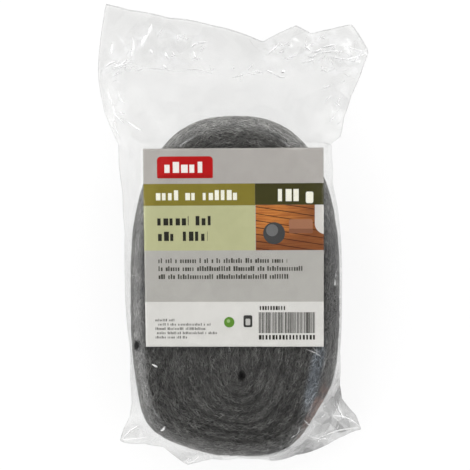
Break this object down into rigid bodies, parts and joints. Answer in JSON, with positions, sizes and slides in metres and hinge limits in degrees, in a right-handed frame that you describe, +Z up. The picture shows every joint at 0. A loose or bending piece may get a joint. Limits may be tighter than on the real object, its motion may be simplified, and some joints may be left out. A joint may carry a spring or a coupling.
{
  "type": "steel wool bundle",
  "caption": "Flattened oval roll of steel wool in a slack clear film bag, with a printed paper label lying under the film on its upper face.",
  "frame": {"origin": "on the floor, under the middle of the bag's outline", "axes": "+Z up, out of the label's printed face; +Y along the bag towards its loose flap; +X to the label's right"},
  "size_m": [0.1542, 0.262, 0.052],
  "materials": {
    "steel_wool": "matted fine steel fibres, dark grey",
    "label_paper": "printed, half matt",
    "clear_film": "thin clear plastic film, glossy and crumpled"
  },
  "bodies": {
    "root": {"wool_roll": "steel_wool", "label": "label_paper", "bag": "clear_film"}
  },
  "joints": []
}
